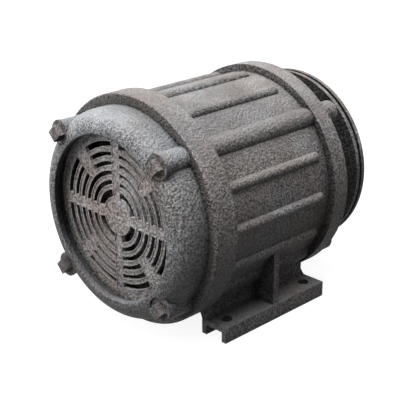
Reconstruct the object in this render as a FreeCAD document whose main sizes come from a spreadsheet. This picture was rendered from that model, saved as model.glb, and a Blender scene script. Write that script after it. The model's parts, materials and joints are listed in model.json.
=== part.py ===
import FreeCAD, Part
import os
import re
import Sketcher

# Foot-mounted vibration motor, built as separate pieces in millimetres.
# +Z is up, the motor axis runs along Y with the grille end towards -Y, and the
# origin is the centre of the foot bolt pattern on the mounting plane.

# ---------------------------------------------------------------- driving sizes
SIZES = {
    # axis and general fits
    "ring_ground_gap": 2.5,
    "seat_gap": 0.05,
    "slip_gap": 0.3,
    "cut_margin": 1,
    # cast frame
    "barrel_radius": 95.5,
    "barrel_length": 130,
    "barrel_wall": 15.5,
    "narrow_rib_radius": 5.35,
    "narrow_rib_rise": 4,
    "narrow_rib_end_gap": 8.5,
    "foot_length": 132,
    "foot_setback": 2.5,
    "foot_reach": 89,
    "foot_plate_top": 14.5,
    "foot_plate_thickness": 5,
    "foot_lip_thickness": 5,
    "foot_web_inner": 59.5,
    "foot_web_thickness": 5.5,
    "foot_web_ring_gap": 2,
    "gusset_thickness": 7,
    "gusset_shift": 0.5,
    "gusset_inset": 1.5,
    "foot_sink": 4,
    "foot_bolt_span_x": 152,
    "foot_bolt_span_y": 104,
    "foot_hole_radius": 5.25,
    # end shields
    "front_ring_rise": 9.5,
    "front_ring_width": 23.5,
    "rear_ring_rise": 7,
    "rear_ring_width": 18.5,
    "ring_edge_round": 1.5,
    "spigot_length": 4,
    "spigot_thickness": 4,
    "shield_web_thickness": 8,
    "hub_wall": 9,
    "hub_inset": 17.5,
    "hub_length": 29,
    "hub_lip_radius": 31,
    "hub_lip_thickness": 3,
    "lug_length": 17,
    "lug_round": 2.5,
    "cover_screw_radius": 4,
    # tie bolts through cover, rings and wide ribs into the rear lugs
    "tie_circle_inset": 5.2,
    "tie_boss_radius": 10.8,
    "tie_bolt_radius": 5,
    "tie_hole_gap": 0.6,
    "tie_head_side": 11,
    "tie_head_height": 6.5,
    "tie_lug_engagement": 7,
    "tie_washer_radius": 11.4,
    "tie_washer_thickness": 2,
    "tie_seat_gap": 0.3,
    # front cover and grille
    "cover_inset": 0.5,
    "cover_depth": 29,
    "cover_round": 18,
    "cover_lip_round": 1.5,
    "cover_wall": 11,
    "cover_boss_height": 25,
    "cover_rim_width": 20.5,
    "cover_lip_thickness": 5,
    "cover_lip_undercut": 3.3,
    "grille_setback": 12,
    "grille_thickness": 3,
    "grille_seat_width": 1.5,
    "grille_slot_width": 4,
    "grille_first_row": 22,
    "grille_first_row_extra": 2.5,
    "grille_last_row_extra": 1,
    "grille_edge_width": 8.5,
    "grille_spoke_width": 10,
    "slot_rim_width": 1.1,
    "slot_rim_rise": 0.6,
    "grille_dimple_radius": 2.2,
    "grille_dimple_depth": 1.2,
    "snap_ring_width": 2.4,
    "snap_ring_thickness": 1.5,
    "snap_ring_wall": 2,
    # roller bearings
    "bearing_bore_radius": 20,
    "bearing_outer_radius": 45,
    "bearing_width": 23,
    "roller_radius": 6,
    "roller_shoulder": 5.3,
    "roller_circle_drop": 0.5,
    "race_gap": 0.12,
    "race_lip_rise": 4.6,
    "cage_half_width": 3,
    "cage_side": 2.2,
    # bearing caps
    "cap_thickness": 4,
    "cap_bore_radius": 30,
    "cap_screw_offset": 4.4,
    "cap_screw_radius": 2.5,
    "cap_screw_head_radius": 3.9,
    "cap_screw_head_height": 2.8,
    "cap_screw_depth": 10,
    "cap_screw_tip_gap": 0.5,
    "seal_lip_width": 1,
    "seal_lip_bevel": 1.5,
    # shaft, rotor and stator
    "shaft_core_radius": 22,
    "shaft_weight_radius": 17.5,
    "sleeve_radius": 26,
    "shoulder_gap": 1,
    "rotor_end_gap": 4.5,
    "stator_bore_radius": 50,
    "air_gap": 0.6,
    "stator_slot_width": 6,
    "stator_slot_depth": 18,
    "stator_slot_root": 3,
    "stator_slot_mouth": 2,
    "coil_end_length": 17,
    "coil_hub_gap": 3,
    "coil_frame_gap": 4,
    "coil_corner": 3,
    "bar_overlap": 1,
    "rotor_slot_width": 5,
    "rotor_slot_depth": 9,
    "rotor_slot_cover": 1.2,
    "rotor_slot_gap": 0.1,
    "end_ring_length": 8,
    "end_ring_wall": 13.2,
    # unbalance weights
    "front_weight_radius": 69,
    "front_weight_thickness": 6.5,
    "front_weight_hub_radius": 28,
    "front_weight_start": 1.5,
    "front_weight_span": 170,
    "weight_gap": 0.3,
    "disc_radius": 87,
    "disc_thickness": 4,
    "disc_hub_radius": 30,
    "disc_start": 33.5,
    "disc_hub_start": 13,
    "disc_pitch": 7.5,
    "disc_hub_step": 0.7,
    "disc_window_inner": 38,
    "disc_window_outer": 64,
    "disc_window_span": 48,
    "disc_outer_hub": 4,
    "key_width": 10,
    "key_height": 8,
    "key_depth": 5,
    "rear_key_length": 18,
    "end_washer_radius": 23.75,
    "front_end_washer_thickness": 2,
    "rear_end_washer_thickness": 3.5,
    "end_screw_recess": 0.5,
    "front_end_screw_radius": 4,
    "front_end_screw_head_radius": 6.5,
    "front_end_screw_head_height": 3.2,
    "rear_end_screw_radius": 5,
    "rear_end_screw_head_radius": 9.2,
    "rear_end_screw_head_height": 6.4,
    "end_screw_depth": 18,
    "end_screw_tip_gap": 4,
    # terminal box on the frame's far side
    "box_rise": 28.5,
    "box_length": 66,
    "box_height": 60,
    "box_wall": 5,
    "box_shift": 20,
    "box_floor_drop": 3.5,
    "box_corner": 7,
    "gasket_thickness": 1.5,
    "lid_thickness": 4,
    "lid_screw_inset": 6,
    "lid_screw_radius": 2,
    "lid_screw_head_radius": 3.6,
    "lid_screw_head_height": 2.6,
    "lid_screw_depth": 12,
    "lead_hole_radius": 6,
    "lead_hole_shift": 21,
    "block_length": 38,
    "block_height": 22,
    "block_depth": 10,
    "block_drop": 6,
    "stud_radius": 2,
    "stud_length": 17,
    "stud_pitch": 12,
    "stud_row_gap": 11,
    "stud_nut_radius": 4,
    "stud_nut_height": 3.2,
    # cable gland under the terminal box
    "gland_axis_rise": 13.5,
    "gland_thread_radius": 8,
    "gland_hex_radius": 11,
    "gland_hex_height": 5,
    "gland_neck_radius": 8.5,
    "gland_neck_length": 10,
    "gland_thread_length": 8,
    "gland_bore_radius": 6.6,
    "gland_seal_bore_radius": 4.5,
    "gland_seal_length": 8,
    "gland_nut_length": 13,
    "gland_nut_bore_radius": 5.5,
    "gland_nut_gap": 1,
    "gland_nut_bevel_length": 4,
    "gland_nut_bevel_width": 3,
    "gland_seal_drop": 2,
}

# ------------------------------------------------------------ counts and angles
TIE_COUNT = 4
CAP_SCREW_COUNT = 4
ROLLER_COUNT = 10
STATOR_SLOTS = 18
ROTOR_SLOTS = 20
GRILLE_ROWS = 6
UNBROKEN_ROWS = 3
DIAGONAL_SPOKE_HALF_ANGLE = 7
FULL_TURN = 360
QUADRANT = 90
SNAP_RING_SPAN = 340
DISC_WINDOW_DIRECTIONS = (-38, -90, -142)
NARROW_RIB_COUNT = 16
HALF_ROOT = 0.5 ** 0.5
MATCH = 0.01
HEXAGON_RISE = 0.75 ** 0.5

# -------------------------------------------- sizes and places that follow them
STATIONS = {
    # radii
    "axis_height": "(front_ring_radius + ring_ground_gap)",
    "frame_bore_radius": "(barrel_radius - barrel_wall)",
    "front_ring_radius": "(barrel_radius + front_ring_rise)",
    "rear_ring_radius": "(barrel_radius + rear_ring_rise)",
    "ring_bore_radius": "(frame_bore_radius - spigot_thickness)",
    "tie_circle_radius": "(barrel_radius - tie_circle_inset)",
    "tie_hole_radius": "(tie_bolt_radius + tie_hole_gap)",
    "cover_radius": "(barrel_radius - cover_inset)",
    "cover_bore_radius": "(cover_radius - cover_wall)",
    "cover_lip_radius": "(cover_radius - cover_rim_width)",
    "recess_radius": "(cover_lip_radius + cover_lip_undercut)",
    "grille_seat_radius": "(recess_radius + grille_seat_width)",
    "grille_last_row": "(cover_lip_radius - grille_edge_width - grille_slot_width / 2)",
    "grille_row_pitch": f"((grille_last_row - grille_first_row) / {GRILLE_ROWS - 1})",
    "foot_web_flare_top": "(axis_height - sqrt(rear_ring_radius^2 - foot_web_inner^2) - foot_web_ring_gap)",
    "hub_radius": "(bearing_outer_radius + hub_wall)",
    "cap_screw_circle": "(bearing_outer_radius + cap_screw_offset)",
    "roller_circle_radius": "((bearing_bore_radius + bearing_outer_radius) / 2 - roller_circle_drop)",
    "race_lip_radius": "(roller_circle_radius + race_lip_rise)",
    "race_inner_radius": "(roller_circle_radius - roller_radius - race_gap)",
    "race_outer_radius": "(roller_circle_radius + roller_radius + race_gap)",
    "cage_inner_radius": "(roller_circle_radius - cage_half_width)",
    "cage_outer_radius": "(roller_circle_radius + cage_half_width)",
    "coil_end_inner": "(hub_radius + coil_hub_gap)",
    "coil_end_outer": "(frame_bore_radius - coil_frame_gap)",
    "rotor_slot_top": "(stator_bore_radius - air_gap - rotor_slot_cover)",
    "rotor_slot_root": "(rotor_slot_top - rotor_slot_depth)",
    "end_ring_inner": "(rotor_slot_top - end_ring_wall)",
    "box_reach": "(barrel_radius + box_rise)",
    "box_floor": "(barrel_radius - box_floor_drop)",
    "gland_axis_reach": "(barrel_radius + gland_axis_rise)",
    # lengths
    "roller_length": "(bearing_width - 2 * roller_shoulder)",
    "core_length": "(barrel_length - 2 * (hub_inset + end_ring_length + rotor_end_gap))",
    # positions along the motor
    "frame_front": "(0 - foot_length / 2 - foot_setback)",
    "frame_rear": "(frame_front + barrel_length)",
    "frame_middle": "(frame_front + barrel_length / 2)",
    "front_ring_face": "(frame_front - front_ring_width)",
    "rear_ring_face": "(frame_rear + rear_ring_width)",
    "cover_front": "(front_ring_face - cover_depth)",
    "cover_boss_face": "(front_ring_face - cover_boss_height)",
    "tie_bolt_seat": "(cover_boss_face - tie_washer_thickness)",
    "tie_bolt_end": "(rear_ring_face + tie_lug_engagement)",
    "front_hub_inner": "(frame_front + hub_inset)",
    "rear_hub_inner": "(frame_rear - hub_inset)",
    "front_hub_face": "(front_hub_inner - hub_length)",
    "rear_hub_face": "(rear_hub_inner + hub_length)",
    "front_bearing_inner": "(front_hub_inner - hub_lip_thickness)",
    "rear_bearing_inner": "(rear_hub_inner + hub_lip_thickness)",
    "front_bearing_face": "(front_bearing_inner - bearing_width)",
    "rear_bearing_face": "(rear_bearing_inner + bearing_width)",
    "front_cap_face": "(front_hub_face - cap_thickness)",
    "front_weight_back": "(front_cap_face - front_weight_start)",
    "front_weight_mid": "(front_weight_back - front_weight_thickness)",
    "front_slider_back": "(front_weight_mid - weight_gap)",
    "front_slider_face": "(front_slider_back - front_weight_thickness)",
    "shaft_front_end": "(front_slider_face + end_screw_recess)",
    "disc_face": "(rear_ring_face + disc_start)",
    "disc_hub_face": "(rear_ring_face + disc_hub_start)",
    "disc_hub_end": "(disc_face + disc_thickness + disc_hub_step)",
    "slider_disc_face": "(disc_face + disc_pitch)",
    "slider_hub_face": "(disc_hub_end + weight_gap)",
    "slider_hub_end": "(slider_disc_face + disc_thickness + disc_outer_hub)",
    "shaft_rear_end": "(slider_hub_end - end_screw_recess)",
    "box_middle": "(frame_middle + box_shift)",
}

doc = FreeCAD.newDocument("vibration_motor")
sheet = doc.addObject("Spreadsheet::Sheet", "sizes")
for row, (alias, number) in enumerate(SIZES.items(), start=1):
    sheet.set(f"A{row}", str(number))
    sheet.setAlias(f"A{row}", alias)
doc.recompute()

SHEET_NAMES = {alias: f"sizes.{alias}" for alias in SIZES}
exported = []


# ------------------------------------------------------------ binding to sheet
def ref(text):
    """Turns a formula in size and station names into one that reads the sheet."""
    text = str(text)
    while any(re.search(rf"\b{name}\b", text) for name in STATIONS):
        text = re.sub(r"\b[a-z]\w*\b", lambda m: STATIONS.get(m.group(), m.group()), text)
    return re.sub(r"\b[a-z]\w*\b", lambda m: SHEET_NAMES.get(m.group(), m.group()), text)


def value(text):
    number = sheet.evalExpression(ref(text))
    return float(getattr(number, "Value", number))


def bind(obj, **formulas):
    for path, formula in formulas.items():
        obj.setExpression(path.replace("__", "."), ref(formula))


def place(obj, along, facing="rear", across=0, height="axis_height"):
    """Seats a piece at a station; a piece that faces the front is turned about Z."""
    turn = FULL_TURN / 2 if facing == "front" else 0
    rotation = FreeCAD.Rotation(FreeCAD.Vector(0, 0, 1), turn)
    obj.Placement = FreeCAD.Placement(FreeCAD.Vector(value(across), value(along), value(height)), rotation)
    bind(obj, Placement__Base__x=across, Placement__Base__y=along, Placement__Base__z=height)
    return obj


# ------------------------------------------------------------- sketch helpers
def origin_part(body, role):
    return next(item for item in body.Origin.OriginFeatures if item.Role == role)


def make_body(name, along=0, facing="rear", across=0, height="axis_height"):
    body = doc.addObject("PartDesign::Body", name)
    body.Label = name
    body.AllowCompound = True
    place(body, along, facing, across, height)
    exported.append(body)
    return body


def new_sketch(body, name, plane="XY_Plane", lift=0, turn=0, turn_axis=(0, 1, 0)):
    sketch = body.newObject("Sketcher::SketchObject", name)
    sketch.AttachmentSupport = [(origin_part(body, plane), "")]
    sketch.MapMode = "FlatFace"
    rotation = FreeCAD.Rotation(FreeCAD.Vector(*turn_axis), turn)
    sketch.AttachmentOffset = FreeCAD.Placement(FreeCAD.Vector(0, 0, value(lift)), rotation)
    bind(sketch, AttachmentOffset__Base__z=lift)
    return sketch


def pin_point(sketch, geometry, vertex, x, y):
    """Holds one vertex at a bound distance from each sketch axis."""
    for formula, kind, axis in ((x, "DistanceX", -2), (y, "DistanceY", -1)):
        if str(formula) == "0":
            sketch.addConstraint(Sketcher.Constraint("PointOnObject", geometry, vertex, axis))
        else:
            index = sketch.addConstraint(
                Sketcher.Constraint(kind, -1, 1, geometry, vertex, value(formula)))
            sketch.setExpression(f"Constraints[{index}]", ref(formula))


def add_outline(sketch, corners):
    """Closed straight-sided outline with every corner bound."""
    points = [FreeCAD.Vector(value(x), value(y), 0) for x, y in corners]
    first = sketch.GeometryCount
    count = len(points)
    for index, start in enumerate(points):
        sketch.addGeometry(Part.LineSegment(start, points[(index + 1) % count]))
    for index, (x, y) in enumerate(corners):
        before = first + (index - 1) % count
        sketch.addConstraint(Sketcher.Constraint("Coincident", before, 2, first + index, 1))
        pin_point(sketch, first + index, 1, x, y)


def add_circle(sketch, radius, x=0, y=0):
    centre = FreeCAD.Vector(value(x), value(y), 0)
    index = sketch.addGeometry(Part.Circle(centre, FreeCAD.Vector(0, 0, 1), value(radius)))
    pin_point(sketch, index, 3, x, y)
    held = sketch.addConstraint(Sketcher.Constraint("Radius", index, value(radius)))
    sketch.setExpression(f"Constraints[{held}]", ref(radius))


def add_box(sketch, x_low, x_high, y_low, y_high):
    add_outline(sketch, [(x_low, y_low), (x_high, y_low), (x_high, y_high), (x_low, y_high)])


def add_hexagon(sketch, radius, x=0, y=0):
    """Hexagon with two corners level with its centre."""
    rise = f"({radius}) * {HEXAGON_RISE}"
    half = f"({radius}) / 2"
    steps = [(f"({radius})", None), (half, rise), (f"-{half}", rise),
             (f"-({radius})", None), (f"-{half}", f"-({rise})"), (half, f"-({rise})")]
    add_outline(sketch, [(f"{x} + {dx}", f"{y} + {dy}" if dy else y) for dx, dy in steps])


# ------------------------------------------------------------ feature helpers
def feature(body, kind, name, sketch=None, **formulas):
    item = body.newObject(f"PartDesign::{kind}", name)
    if sketch is not None:
        item.Profile = sketch
        sketch.Visibility = False
    bind(item, **formulas)
    return item


def spin(body, name, corners, kind="Revolution", angle=FULL_TURN, turn=0):
    """Turns a bound outline (radius, distance along the axis) about the body's Y axis."""
    sketch = new_sketch(body, f"{name}_profile", "XY_Plane", 0, turn)
    add_outline(sketch, corners)
    item = feature(body, kind, name, sketch)
    item.ReferenceAxis = (sketch, ["V_Axis"])
    item.Angle = value(angle)
    item.Midplane = value(angle) < FULL_TURN
    if angle != FULL_TURN:
        bind(item, Angle=angle)
    return item


def along_axis(body, name, start, length, draw, kind="Pad"):
    """Pads or pockets what draw() sketches, from a station towards the body's +Y."""
    sketch = new_sketch(body, f"{name}_outline", "XZ_Plane", f"0 - ({start})")
    draw(sketch)
    item = feature(body, kind, name, sketch, Length=length)
    item.Reversed = kind == "Pad"
    return item


def around(body, name, originals, count):
    pattern = feature(body, "PolarPattern", name)
    pattern.Originals = originals
    pattern.Axis = (origin_part(body, "Y_Axis"), [""])
    pattern.Angle = FULL_TURN
    pattern.Occurrences = count
    body.Tip = pattern
    return pattern


def round_edges(body, name, kind, size, wanted):
    """Rounds or chamfers the edges of the newest feature that wanted() picks."""
    doc.recompute()
    base = body.Tip
    names = [f"Edge{number}" for number, edge in enumerate(base.Shape.Edges, start=1) if wanted(edge)]
    item = body.newObject(f"PartDesign::{kind}", name)
    item.Base = (base, names)
    bind(item, **{"Radius" if kind == "Fillet" else "Size": size})
    return item


def circle_at(radius, along):
    """Picks circles that face along the motor by radius and station."""
    def wanted(edge):
        curve = edge.Curve
        return (isinstance(curve, Part.Circle) and abs(curve.Radius - value(radius)) < MATCH
                and abs(curve.Center.y - value(along)) < MATCH)
    return wanted


# ------------------------------------------------------------------ cast frame
TIE_REACH = f"tie_circle_radius * {HALF_ROOT}"
BOX_MIDDLE = "(box_middle - frame_front)"


def tie_axes(sketch, radius):
    """One circle on the first tie-bolt axis, 45 degrees above the horizontal."""
    add_circle(sketch, radius, TIE_REACH, TIE_REACH)


def capsule_rib(body, name):
    """Round bar half sunk in the barrel with a rounded rear tip."""
    rib_axis = "barrel_radius + narrow_rib_rise - narrow_rib_radius"
    sketch = new_sketch(body, f"{name}_profile", "XY_Plane", rib_axis)
    shank = "barrel_length - narrow_rib_end_gap - narrow_rib_radius"
    shoulder = value(shank)
    radius = value("narrow_rib_radius")
    base, side = FreeCAD.Vector(0, 0, 0), FreeCAD.Vector(radius, 0, 0)
    turnover, tip = FreeCAD.Vector(radius, shoulder, 0), FreeCAD.Vector(0, shoulder + radius, 0)
    middle = FreeCAD.Vector(radius * HALF_ROOT, shoulder + radius * HALF_ROOT, 0)
    sketch.addGeometry(Part.LineSegment(base, side))
    sketch.addGeometry(Part.LineSegment(side, turnover))
    sketch.addGeometry(Part.Arc(turnover, middle, tip))
    sketch.addGeometry(Part.LineSegment(tip, base))
    for before, after in ((0, 1), (1, 2), (2, 3), (3, 0)):
        sketch.addConstraint(Sketcher.Constraint("Coincident", before, 2, after, 1))
    pin_point(sketch, 0, 1, 0, 0)
    pin_point(sketch, 1, 1, "narrow_rib_radius", 0)
    pin_point(sketch, 1, 2, "narrow_rib_radius", shank)
    pin_point(sketch, 3, 1, 0, f"{shank} + narrow_rib_radius")
    sketch.addConstraint(Sketcher.Constraint("PointOnObject", 2, 3, -2))
    rib = feature(body, "Revolution", name, sketch)
    rib.ReferenceAxis = (sketch, ["V_Axis"])
    rib.Angle = FULL_TURN
    return rib


def side_pad(body, name, start, thickness, corners):
    """Plate drawn in the side view and thickened along X."""
    sketch = new_sketch(body, f"{name}_outline", "YZ_Plane", start)
    add_outline(sketch, corners)
    return feature(body, "Pad", name, sketch, Length=thickness)


def build_feet(body):
    """One foot drawn on +X, with its web, plate, lip and gusset, then mirrored."""
    ground = "0 - axis_height"
    plate_top = "foot_plate_top - axis_height"
    web_outer = "foot_web_inner + foot_web_thickness"
    root = "0 - sqrt(frame_bore_radius^2 - foot_web_inner^2) - foot_sink"
    gusset_root = "foot_sink - sqrt(barrel_radius^2 - (foot_reach - gusset_inset)^2)"
    foot_end = "foot_setback + foot_length"
    web = side_pad(body, "foot_web", "foot_web_inner", "foot_web_thickness", [
        ("foot_setback", ground), (foot_end, ground), (foot_end, plate_top),
        ("barrel_length", "foot_web_flare_top - axis_height"), ("barrel_length", root),
        (0, root), (0, "foot_web_flare_top - axis_height"), ("foot_setback", plate_top)])

    lip_inner = "foot_reach - foot_lip_thickness"
    underside = f"{plate_top} - foot_plate_thickness"
    plate = along_axis(body, "foot_plate", "foot_setback", "foot_length", lambda s: add_outline(s, [
        ("foot_web_inner", underside), (lip_inner, underside), (lip_inner, ground),
        ("foot_reach", ground), ("foot_reach", plate_top), ("foot_web_inner", plate_top)]))

    gusset_edge = "foot_reach - gusset_inset"
    gusset_start = "foot_setback + foot_length / 2 + gusset_shift - gusset_thickness / 2"
    gusset = along_axis(body, "foot_gusset", gusset_start, "gusset_thickness", lambda s: add_outline(s, [
        ("foot_web_inner", underside), (gusset_edge, underside), (gusset_edge, gusset_root),
        ("foot_web_inner", root)]))

    drill = new_sketch(body, "foot_hole_circles", "XY_Plane", f"{plate_top} + cut_margin")
    for sign in ("-", "+"):
        middle = f"foot_setback + foot_length / 2 {sign} foot_bolt_span_y / 2"
        add_circle(drill, "foot_hole_radius", "foot_bolt_span_x / 2", middle)
    holes = feature(body, "Pocket", "foot_holes", drill, Length="foot_plate_thickness + 2 * cut_margin")

    mirrored = feature(body, "Mirrored", "feet")
    mirrored.Originals = [web, plate, gusset, holes]
    mirrored.MirrorPlane = (origin_part(body, "YZ_Plane"), [""])
    body.Tip = mirrored


def box_corners(inset, cut):
    """Rectangle of the terminal box with its four corners cut off."""
    half_y, half_z = f"(box_length / 2 - {inset})", f"(box_height / 2 - {inset})"
    corners = []
    for side_y, side_z, first in (("-", "-", "z"), ("+", "-", "y"), ("+", "+", "z"), ("-", "+", "y")):
        trims = [(0, cut), (cut, 0)] if first == "z" else [(cut, 0), (0, cut)]
        for trim_y, trim_z in trims:
            y = f"{BOX_MIDDLE} {side_y} ({half_y} - {trim_y})"
            corners.append((y, f"0 {side_z} ({half_z} - {trim_z})"))
    return corners


def box_screw_places():
    reach_y = "(box_length / 2 - lid_screw_inset)"
    reach_z = "(box_height / 2 - lid_screw_inset)"
    return [(f"{BOX_MIDDLE} {side_y} {reach_y}", f"0 {side_z} {reach_z}")
            for side_y in "-+" for side_z in "-+"]


def build_terminal_box(body):
    """Box cast on the far side of the barrel."""
    wall = new_sketch(body, "box_outline", "YZ_Plane", "0 - box_reach")
    add_outline(wall, box_corners("0", "box_corner"))
    feature(body, "Pad", "box_walls", wall, Length="box_reach - (frame_bore_radius + barrel_radius) / 2")


def open_terminal_box(body):
    """Wiring space, lid screw holes, lead hole into the windings and gland hole."""
    room = new_sketch(body, "box_room_outline", "YZ_Plane", "0 - box_floor")
    add_outline(room, box_corners("box_wall", "lid_screw_inset + cut_margin"))
    feature(body, "Pocket", "box_room", room, Length="box_reach - box_floor")

    taps = new_sketch(body, "lid_tap_circles", "YZ_Plane", "lid_screw_depth - box_reach")
    for y, z in box_screw_places():
        add_circle(taps, "lid_screw_radius + seat_gap", y, z)
    feature(body, "Pocket", "lid_taps", taps, Length="lid_screw_depth")

    lead = new_sketch(body, "lead_hole_circle", "YZ_Plane", "barrel_wall - frame_bore_radius")
    add_circle(lead, "lead_hole_radius", f"{BOX_MIDDLE} + lead_hole_shift", 0)
    lead_length = "box_floor + barrel_wall - frame_bore_radius + cut_margin"
    feature(body, "Pocket", "lead_hole", lead, Length=lead_length)

    gland = new_sketch(body, "gland_hole_circle", "XY_Plane", "box_wall + cut_margin - box_height / 2")
    add_circle(gland, "gland_thread_radius + seat_gap", "0 - gland_axis_reach", BOX_MIDDLE)
    feature(body, "Pocket", "gland_hole", gland, Length="box_wall + 2 * cut_margin")


def build_stator_frame():
    body = make_body("stator_frame", "frame_front")
    along_axis(body, "barrel", 0, "barrel_length", lambda s: add_circle(s, "barrel_radius"))
    first = capsule_rib(body, "narrow_rib")
    around(body, "narrow_ribs", [first], NARROW_RIB_COUNT)
    boss = along_axis(body, "tie_rib", 0, "barrel_length", lambda s: tie_axes(s, "tie_boss_radius"))
    around(body, "tie_ribs", [boss], TIE_COUNT)
    build_feet(body)
    build_terminal_box(body)
    along_axis(body, "stator_bore", 0, "barrel_length",
               lambda s: add_circle(s, "frame_bore_radius"), "Pocket")
    holes = along_axis(body, "tie_hole", 0, "barrel_length",
                       lambda s: tie_axes(s, "tie_hole_radius"), "Pocket")
    around(body, "tie_holes", [holes], TIE_COUNT)
    open_terminal_box(body)


# ----------------------------------------------------------------- end shields
def build_end_shield(end):
    """Ring, web and bearing hub; distances run outwards from the hub's inner end."""
    ring_radius, ring_width = f"{end}_ring_radius", f"{end}_ring_width"
    body = make_body(f"{end}_end_shield", f"{end}_hub_inner", end)
    ring_face = f"hub_inset + {ring_width}"
    web_inner = "hub_length - shield_web_thickness"
    spin(body, "casting", [
        (ring_radius, "hub_inset"), (ring_radius, ring_face), ("ring_bore_radius", ring_face),
        ("ring_bore_radius", "hub_length"), ("bearing_outer_radius + seat_gap", "hub_length"),
        ("bearing_outer_radius + seat_gap", "hub_lip_thickness"), ("hub_lip_radius", "hub_lip_thickness"),
        ("hub_lip_radius", 0), ("hub_radius", 0), ("hub_radius", web_inner),
        ("ring_bore_radius", web_inner), ("ring_bore_radius", "hub_inset - spigot_length"),
        ("frame_bore_radius - seat_gap", "hub_inset - spigot_length"),
        ("frame_bore_radius - seat_gap", "hub_inset")])
    round_edges(body, "ring_round", "Fillet", "ring_edge_round", circle_at(ring_radius, ring_face))
    if end == "rear":
        lug_face = f"{ring_face} + lug_length"
        lug = along_axis(body, "lug", ring_face, "lug_length", lambda s: tie_axes(s, "tie_boss_radius"))
        around(body, "lugs", [lug], TIE_COUNT)
        round_edges(body, "lug_round", "Fillet", "lug_round", circle_at("tie_boss_radius", lug_face))
        tie_end = f"{ring_face} + tie_lug_engagement + seat_gap"
        drills = [("tie_tap", "0", tie_end, "tie_bolt_radius + seat_gap"),
                  ("cover_tap", tie_end, f"{lug_face} - ({tie_end})", "cover_screw_radius + seat_gap")]
    else:
        drills = [("tie_hole", "0", ring_face, "tie_hole_radius")]
    for name, start, length, radius in drills:
        drill = along_axis(body, name, start, length, lambda s: tie_axes(s, radius), "Pocket")
        around(body, f"{name}s", [drill], TIE_COUNT)
    tap = along_axis(body, "cap_tap", "hub_length - cap_screw_depth", "cap_screw_depth",
                     lambda s: add_circle(s, "cap_screw_radius + seat_gap", "cap_screw_circle", 0), "Pocket")
    around(body, "cap_taps", [tap], CAP_SCREW_COUNT)


# --------------------------------------------------------- front cover, grille
def build_front_cover():
    """Rounded weight cover; distances run rearwards from its front plane."""
    body = make_body("front_cover", "cover_front")
    seat_end = "grille_setback + grille_thickness + snap_ring_thickness + snap_ring_wall"
    spin(body, "shell", [
        ("cover_lip_radius", 0), ("cover_radius", 0), ("cover_radius", "cover_depth"),
        ("cover_bore_radius", "cover_depth"), ("cover_bore_radius", seat_end),
        ("grille_seat_radius", seat_end), ("grille_seat_radius", "grille_setback"),
        ("recess_radius", "grille_setback"), ("recess_radius", "cover_lip_thickness"),
        ("cover_lip_radius", "cover_lip_thickness")])
    round_edges(body, "shoulder_round", "Fillet", "cover_round", circle_at("cover_radius", 0))
    round_edges(body, "lip_round", "Fillet", "cover_lip_round", circle_at("cover_lip_radius", 0))
    boss_top = "cover_depth - cover_boss_height"
    boss = along_axis(body, "tie_boss", boss_top, "cover_boss_height",
                      lambda s: tie_axes(s, "tie_boss_radius"))
    around(body, "tie_bosses", [boss], TIE_COUNT)
    seats = along_axis(body, "washer_seat", "0", boss_top,
                       lambda s: tie_axes(s, "tie_washer_radius + tie_seat_gap"), "Pocket")
    holes = along_axis(body, "tie_hole", "0", "cover_depth",
                       lambda s: tie_axes(s, "tie_hole_radius"), "Pocket")
    around(body, "tie_holes", [seats, holes], TIE_COUNT)
    groove_start = "grille_setback + grille_thickness"
    groove_end = f"{groove_start} + snap_ring_thickness"
    inner, outer = "grille_seat_radius - cut_margin", "grille_seat_radius + snap_ring_width / 2"
    spin(body, "snap_ring_groove", [
        (inner, groove_start), (outer, groove_start), (outer, groove_end), (inner, groove_end)], "Groove")


def arc_band(body, name, ends, depths, middle_angle, span, kind):
    """Arc-shaped bar or cut centred on a direction in the face of a plate."""
    (inner, outer), (low, high) = ends, depths
    corners = [(inner, low), (outer, low), (outer, high), (inner, high)]
    return spin(body, name, corners, kind, span, middle_angle)


def grille_row_edges(row):
    """Inner and outer radius of a row of slots; the first and the last row are the wide ones."""
    middle = f"(grille_first_row + grille_row_pitch * {row})"
    inner, outer = f"{middle} - grille_slot_width / 2", f"{middle} + grille_slot_width / 2"
    if row == 0:
        inner = f"{inner} - grille_first_row_extra"
    if row == GRILLE_ROWS - 1:
        outer = f"{outer} + grille_last_row_extra"
    return middle, f"({inner})", f"({outer})"


def grille_row_arcs(row, middle):
    """Directions and spans of the slots that one row has in a quarter of the grille."""
    spoke = value(f"asin(grille_spoke_width / 2 / {middle})")
    if row < UNBROKEN_ROWS:
        return [(QUADRANT / 2, QUADRANT - 2 * spoke)]
    span = QUADRANT / 2 - DIAGONAL_SPOKE_HALF_ANGLE - spoke
    return [(spoke + span / 2, span), (QUADRANT - spoke - span / 2, span)]


def build_grille():
    """Round plate with six rows of rimmed arc slots between four long spokes and four short ones."""
    body = make_body("grille_plate", "cover_front + grille_setback")
    dimple, edge = "grille_dimple_radius", "grille_seat_radius - slip_gap"
    spin(body, "plate", [
        (0, "grille_dimple_depth"), (dimple, 0), (edge, 0), (edge, "grille_thickness"),
        (0, "grille_thickness")])
    rims, slots = [], []
    for row in range(GRILLE_ROWS):
        middle, inner, outer = grille_row_edges(row)
        rim_angle = value(f"asin(slot_rim_width / {middle})")
        rim_ends = (f"{inner} - slot_rim_width", f"{outer} + slot_rim_width")
        for part, (direction, span) in enumerate(grille_row_arcs(row, middle)):
            rims.append(arc_band(body, f"rim_{row}_{part}", rim_ends,
                                 ("0 - slot_rim_rise", "grille_thickness / 2"), direction,
                                 span + 2 * rim_angle, "Revolution"))
            slots.append((f"slot_{row}_{part}", (inner, outer), direction, span))
    around(body, "rims", rims, FULL_TURN // QUADRANT)
    through = ("0 - slot_rim_rise - cut_margin", "grille_thickness + cut_margin")
    cuts = [arc_band(body, name, ends, through, direction, span, "Groove")
            for name, ends, direction, span in slots]
    around(body, "slots", cuts, FULL_TURN // QUADRANT)


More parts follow.
